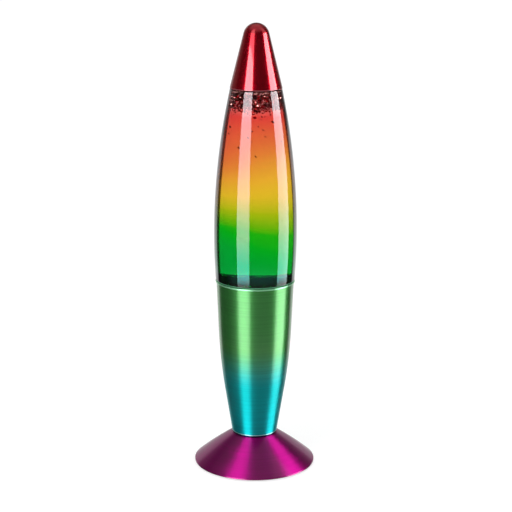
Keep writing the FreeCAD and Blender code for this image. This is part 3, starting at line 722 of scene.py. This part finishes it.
def outside_outline():
    """The bottle's outside from the axis up to its bore, and the corners where its lip begins and ends."""
    base = BOTTLE_LOW.z
    crest = (0, base + PUNT)
    heel = (SPIGOT_R - HEEL_RADIUS, base)
    lip = (swept_radius(LOWER_SWEEP, 0, BELLY_RISE - LIP_RADIUS), SEAT_Z + LIP_RADIUS)
    belly = (BELLY_R, BELLY_Z)
    turn_in = math.pi / 2 - math.asin(LEDGE_RISE / UPPER_SWEEP)
    setback = SHOULDER_RADIUS * math.tan(turn_in / 2)
    fall = setback * math.sin(turn_in)
    shoulder = (swept_radius(UPPER_SWEEP, 0, LEDGE_RISE - fall), LEDGE_Z - fall)
    ledge = (LEDGE_R - setback, LEDGE_Z)
    finish = NECK_R + FINISH_LIP
    punt_sweep = (heel[0] ** 2 + PUNT ** 2) / (2 * PUNT)
    outline = [crest] + arc(crest, heel, punt_sweep, steps=16, turn="right")
    outline += arc(heel, (SPIGOT_R, base + HEEL_RADIUS), HEEL_RADIUS, steps=10)
    outline += [(SPIGOT_R, SEAT_Z), (lip[0] - LIP_RADIUS, SEAT_Z)]
    lip_begins = len(outline) - 1
    outline += arc(outline[-1], lip, LIP_RADIUS, steps=8)
    lip_ends = len(outline) - 1
    outline += arc(lip, belly, LOWER_SWEEP, LOWER_STEPS)
    outline += arc(belly, shoulder, UPPER_SWEEP, UPPER_STEPS)
    outline += arc(shoulder, ledge, SHOULDER_RADIUS, steps=8)
    outline += [(COLLAR_R, LEDGE_Z), (NECK_R, NECK_Z), (NECK_R, FINISH_Z), (finish, FINISH_Z)]
    outline += [(finish, BOTTLE_HIGH.z), (BORE_R, BOTTLE_HIGH.z)]
    return outline, lip_begins, lip_ends


def bottle():
    """Glass bottle: lacquered outside above and below a ground lip that is partly a painted highlight, bare
    inside.
    """
    outline, lip_begins, lip_ends = outside_outline()
    bore_begins = len(outline) - 1
    outline += [(BORE_R, NECK_Z)] + inside_outline(GLASS_WALL)[::-1]
    lacquer = MATERIALS["lacquered_glass"]
    finishes = [lacquer, ground_lip_and_highlight(), lacquer, clear_glass()]
    piece = lathe("bottle", outline, finishes, (lip_begins, lip_ends, bore_begins))
    round_edges(piece, BOTTLE_ROUND)
    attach(piece, "bottle")
    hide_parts("bottle_glass")


def bottle_liquid():
    """Liquid that wets the inside of the glass."""
    inset = GLASS_WALL - WETTING
    collar = COLLAR_R - inset
    surface = collar - (collar - BORE_R) * (LIQUID_TOP - LEDGE_Z) / COLLAR_RISE
    outline = inside_outline(inset) + [(surface, LIQUID_TOP), (0, LIQUID_TOP)]
    piece = lathe("liquid", outline, [MATERIALS["liquid"]])
    round_edges(piece, BOTTLE_ROUND)
    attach(piece, "bottle")
    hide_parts("clear_liquid")


# Flakes

def flake_place(draw, stray):
    """A random place in the layer under the ledge, or below it."""
    depth = draw.random() ** LAYER_CROWDING * LAYER_DEPTH + abs(draw.gauss(0, LAYER_FRAY))
    if stray:
        depth = LAYER_DEPTH + draw.random() ** STRAY_CROWDING * STRAY_DEPTH
    height = LAYER_TOP - depth
    reach = swept_radius(UPPER_SWEEP, GLASS_WALL, height - BELLY_Z) - FLAKE_MARGIN
    out = reach * math.sqrt(draw.random())
    turn = draw.uniform(0, 2 * math.pi)
    return Vector((out * math.cos(turn), out * math.sin(turn), height))


def add_flake(points, faces, size, turned, place):
    """A thin plate put at a place, added to the points and faces of a mesh."""
    start = len(points)
    above = start + FLAKE_SIDES
    for side in (-1, 1):
        for corner in range(FLAKE_SIDES):
            angle = 2 * math.pi * corner / FLAKE_SIDES
            local = Vector((size * math.cos(angle), size * math.sin(angle), side * FLAKE_THICK / 2))
            points.append(place + turned @ local)
    faces.append([start + corner for corner in reversed(range(FLAKE_SIDES))])
    faces.append([above + corner for corner in range(FLAKE_SIDES)])
    for corner in range(FLAKE_SIDES):
        after = (corner + 1) % FLAKE_SIDES
        faces.append([start + corner, start + after, above + after, above + corner])


def flakes():
    """Thin six-sided flakes, each turned its own way and with its own tone."""
    draw = random.Random(FLAKE_SEED)
    points, faces, tones = [], [], []
    for index in range(FLAKE_COUNT + STRAY_COUNT):
        stray = index >= FLAKE_COUNT
        size = draw.uniform(*FLAKE_RADIUS_MM) * MM * (STRAY_GROWTH if stray else 1)
        tilt = STRAY_TILT if stray else 1
        turned = Euler([draw.uniform(0, math.pi) * tilt for axis in range(3)]).to_matrix()
        place = flake_place(draw, stray)
        tone = draw.random() * (STRAY_TONE if stray else 1)
        faces_before = len(faces)
        add_flake(points, faces, size, turned, place)
        tones += [tone] * (len(faces) - faces_before)
    piece = add_piece("flakes", points, faces, [MATERIALS["flakes"]])
    piece.data.shade_flat()
    piece.data.attributes.new("flake_tone", "FLOAT", "FACE").data.foreach_set("value", tones)
    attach(piece, "bottle")
    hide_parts("glitter_flakes")


# Cap

def cap():
    """Spun cap with a round tip and a smoothed lower edge."""
    radius = CAP_HIGH.x
    centre = CAP_HIGH.z - CAP_TIP_RADIUS
    rise = centre - CAP_LOW.z
    lean = math.acos(CAP_TIP_RADIUS / math.hypot(radius, rise)) - math.atan2(rise, radius)
    inner = CAP_TIP_RADIUS - CAP_WALL
    crown = (0, centre + inner)
    inside = (inner * math.cos(lean), centre + inner * math.sin(lean))
    shoulder = (CAP_TIP_RADIUS * math.cos(lean), centre + CAP_TIP_RADIUS * math.sin(lean))
    outline = [crown] + arc(crown, inside, inner, steps=24, turn="right")
    outline += [(radius - CAP_WALL / math.cos(lean), CAP_LOW.z), (radius, CAP_LOW.z), shoulder]
    outline += arc(shoulder, (0, CAP_HIGH.z), CAP_TIP_RADIUS, steps=32)
    piece = lathe("cap", outline, [MATERIALS["cap_red"]])
    round_edges(piece, CAP_ROUND)
    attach(piece, "cap")
    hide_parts("cap_shell")


# Studio

# Strips: tall soft boxes that metal and glass mirror, with their levels by height
STRIP_DISTANCE = 1.0
STRIP_TOP = 3.2
STRIP_BOTTOM = -0.62
STRIP_SOFT_END = 0.12
STRIP_RADIANCE = 9.2
STRIP_BASE_SPAN = (-0.25, -0.16)
STRIP_BASE_SHARE = 0.6
STRIP_LOW_SHARE = 0.5
STRIP_RISE_SPAN = (-0.15, 0.45)
STRIP_TOP_FADE = 0.02
STRIP_GLOW_POWER = 1.2

# Room that mirrors show: levels, and spans of a unit direction's X, Y and Z over which a part of it fades in
BACK_Y = (0.64, 0.72)
BACK_Z = (-0.03, -0.1)
WINGS_LEVEL = 0.6
WINGS_LEAN = 0.1
WINGS_X = (0.15, 0.3)
WINGS_Y = (0.74, 0.82)
BELOW_Z = (-0.52, -0.72)
OVERHEAD_FRONT_LEVEL = 0.52
OVERHEAD_BACK_LEVEL = 0.6
OVERHEAD_BACK_X = (0.5, 0.25)
OVERHEAD_BACK_Y = (-0.15, 0.15)
OVERHEAD_Z = (0.5, 0.95)
FRONT_LOW_LEVEL = 0.85
SIDE_LOW_LEVEL = 0.12
FRONT_HIGH_LEVEL = 0.03
FRONT_TO_SIDE_Y = (-0.45, 0.05)
LOW_TO_HIGH_Z = (-0.45, -0.3)
WALL_LEVEL = 0.19
WALL_LEAN = 0.25
WALL_Y = (0.25, 0.65)
WALL_FOOT_Z = (-0.2, 0.05)
WALL_HEAD_Z = (0.62, 0.5)

# Even light, a key light for matt surfaces, and lights that glint on the flakes
AMBIENT_LEVEL = 0.85
KEY_PLACE = (-0.7, -1.0, 1.7)
KEY_AIM = (0, 0, 0.1)
KEY_SIDE = 0.4
KEY_RADIANCE = 10.0
SPARKLE_ACROSS = (-0.9, -0.1, 0.8)
SPARKLE_Y = -0.9
SPARKLE_Z = 1.15
SPARKLE_AIM = (0, 0, 0.33)
SPARKLE_WIDTH = 1.1
SPARKLE_HEIGHT = 0.8
SPARKLE_RADIANCE = 16.0

# Floor
FLOOR_HALF = 12.0
FLOOR_GREYS = (0.5, 0.52)
FLOOR_GLOW = 0.6


def area_light(name, place, aim, width, height, radiance):
    """A rectangular light that faces a point and sends out a set radiance."""
    lamp = bpy.data.lights.new(name, "AREA")
    lamp.shape = "RECTANGLE"
    lamp.size = width
    lamp.size_y = height
    lamp.energy = radiance * math.pi * width * height
    item = bpy.data.objects.new(name, lamp)
    item.location = place
    item.rotation_euler = (Vector(aim) - Vector(place)).to_track_quat("-Z", "Y").to_euler()
    item.visible_camera = False
    bpy.context.scene.collection.objects.link(item)
    return item


def strip(name, first_degrees, last_degrees, bright_top, top_share, lean=0.0):
    """A tall soft box between two directions, counted from the front towards the right.

    It is weaker low down and soft at its lower end. Above bright_top, which leans with x, it falls to a share
    of its level and fades out towards its top.
    """
    turn = math.radians((first_degrees + last_degrees) / 2)
    width = 2 * STRIP_DISTANCE * math.tan(math.radians(last_degrees - first_degrees) / 2)
    middle = (STRIP_TOP + STRIP_BOTTOM) / 2
    place = (STRIP_DISTANCE * math.sin(turn), -STRIP_DISTANCE * math.cos(turn), middle)
    item = area_light(name, place, (0, 0, middle), width, STRIP_TOP - STRIP_BOTTOM, STRIP_RADIANCE)
    item.visible_diffuse = False
    item.visible_transmission = False
    item.data.use_nodes = True
    tree = item.data.node_tree
    axes = axes_of(tree, node(tree, "ShaderNodeNewGeometry").outputs["Position"])
    height = axes["Z"]
    fallen = bright_top + STRIP_TOP_FADE
    end = share(tree, height, STRIP_BOTTOM, STRIP_BOTTOM + STRIP_SOFT_END, smooth=True)
    base = share(tree, height, *STRIP_BASE_SPAN, STRIP_BASE_SHARE, STRIP_LOW_SHARE)
    rise = share(tree, height, *STRIP_RISE_SPAN, base, 1)
    fall = share(tree, leant(tree, height, axes["X"], lean), bright_top, fallen, 1, top_share, smooth=True)
    glow = maths(tree, "POWER", share(tree, height, fallen, STRIP_TOP, 1, 0), STRIP_GLOW_POWER)
    emission = next(entry for entry in tree.nodes if entry.type == "EMISSION")
    feed(tree, emission, {"Strength": maths(tree, "MULTIPLY", end, rise, fall, glow)})


def lights():
    """Two strips for mirrors, a key for matt surfaces, and three lights for rays that leave the glass."""
    strip("left_strip", first_degrees=-52, last_degrees=-16.5, bright_top=0.7655, top_share=0.25, lean=0.03)
    strip("right_strip", first_degrees=66, last_degrees=103, bright_top=0.76, top_share=0.1)
    key = area_light("key", KEY_PLACE, KEY_AIM, KEY_SIDE, KEY_SIDE, KEY_RADIANCE)
    key.visible_glossy = False
    key.visible_transmission = False
    for across in SPARKLE_ACROSS:
        place = (across, SPARKLE_Y, SPARKLE_Z)
        sparkle = area_light("sparkle", place, SPARKLE_AIM, SPARKLE_WIDTH, SPARKLE_HEIGHT, SPARKLE_RADIANCE)
        sparkle.visible_glossy = False
        sparkle.visible_diffuse = False


def straight_view(tree):
    """1 for rays that come from the camera, also through glass, without a mirror on their way."""
    path = node(tree, "ShaderNodeLightPath").outputs
    through = maths(tree, "GREATER_THAN", path["Is Transmission Ray"], path["Glossy Depth"])
    return maths(tree, "MAXIMUM", path["Is Camera Ray"], through)


def mirror_room(tree):
    """Level that a mirror sees: white below and low behind, pale overhead and aside, else dim or dark."""
    axes = axes_of(tree, node(tree, "ShaderNodeTexCoord").outputs["Generated"])
    across = maths(tree, "ABSOLUTE", axes["X"])
    low_back = maths(tree, "MULTIPLY", share(tree, axes["Y"], *BACK_Y, smooth=True),
                     share(tree, axes["Z"], *BACK_Z, smooth=True))
    turned = leant(tree, axes["Y"], axes["X"], WINGS_LEAN)
    wings = maths(tree, "MULTIPLY", share(tree, across, *WINGS_X, smooth=True),
                  share(tree, turned, *WINGS_Y, 0, WINGS_LEVEL, smooth=True))
    below = share(tree, axes["Z"], *BELOW_Z, smooth=True)
    panel = maths(tree, "MULTIPLY", share(tree, axes["Y"], *OVERHEAD_BACK_Y),
                  share(tree, across, *OVERHEAD_BACK_X))
    ceiling = share(tree, panel, 0, 1, OVERHEAD_FRONT_LEVEL, OVERHEAD_BACK_LEVEL, smooth=True)
    above = maths(tree, "MULTIPLY", ceiling, share(tree, axes["Z"], *OVERHEAD_Z, smooth=True))
    white = maths(tree, "MAXIMUM", above, below, low_back, wings)
    low = share(tree, axes["Y"], *FRONT_TO_SIDE_Y, FRONT_LOW_LEVEL, SIDE_LOW_LEVEL, smooth=True)
    front = share(tree, axes["Z"], *LOW_TO_HIGH_Z, low, FRONT_HIGH_LEVEL, smooth=True)
    aslant = leant(tree, axes["Y"], axes["X"], WALL_LEAN)
    wall = maths(tree, "MULTIPLY", share(tree, aslant, *WALL_Y, 0, WALL_LEVEL),
                 share(tree, axes["Z"], *WALL_FOOT_Z), share(tree, axes["Z"], *WALL_HEAD_Z))
    return share(tree, white, 0, 1, maths(tree, "MAXIMUM", front, wall), 1)


def studio():
    """White to the eye and through glass; mirrors see the room, and other surfaces an even light."""
    world = bpy.data.worlds.new("studio")
    world.use_nodes = True
    tree = world.node_tree
    mirrors = node(tree, "ShaderNodeLightPath").outputs["Glossy Depth"]
    unseen = mixed(tree, share(tree, mirrors, 0, 1), grey(AMBIENT_LEVEL), mirror_room(tree))
    background = next(item for item in tree.nodes if item.type == "BACKGROUND")
    feed(tree, background, {"Color": mixed(tree, straight_view(tree), unseen, WHITE)})
    bpy.context.scene.world = world


def floor():
    """Plain white floor that keeps the shadow."""
    made, tree, shader, place = material("floor_white", roughness=0.9, specular_ior_level=0.0,
                                         emission_color=WHITE)
    dark, light = FLOOR_GREYS
    mottle = noise(tree, place, scale=3.0, detail=2.0)
    feed(tree, shader, {
        "Base Color": ramp(tree, mottle, [(0, grey(dark)), (1, grey(light))]),
        "Emission Strength": maths(tree, "MULTIPLY", straight_view(tree), FLOOR_GLOW),
    })
    corners = [(x * FLOOR_HALF, y * FLOOR_HALF, 0) for x, y in ((-1, -1), (1, -1), (1, 1), (-1, 1))]
    piece = add_piece("floor", corners, [(0, 1, 2, 3)], [made])
    piece.visible_glossy = False


def camera():
    """Camera at the photograph's view."""
    data = bpy.data.cameras.new("camera")
    data.sensor_width = SENSOR_MM
    data.lens = FOCAL_PX * SENSOR_MM / IMAGE_PX
    data.shift_x = CAMERA_SHIFT_PX / IMAGE_PX
    item = bpy.data.objects.new("camera", data)
    turn = Matrix.Rotation(CAMERA_PITCH, 4, "X") @ Matrix.Rotation(CAMERA_ROLL, 4, "Z")
    item.matrix_world = Matrix.Translation(CAMERA_PLACE) @ turn
    bpy.context.scene.collection.objects.link(item)
    bpy.context.scene.camera = item


dress_solids()
bottle()
bottle_liquid()
flakes()
cap()
studio()
floor()
camera()
lights()

bpy.context.scene.view_settings.view_transform = "Standard"
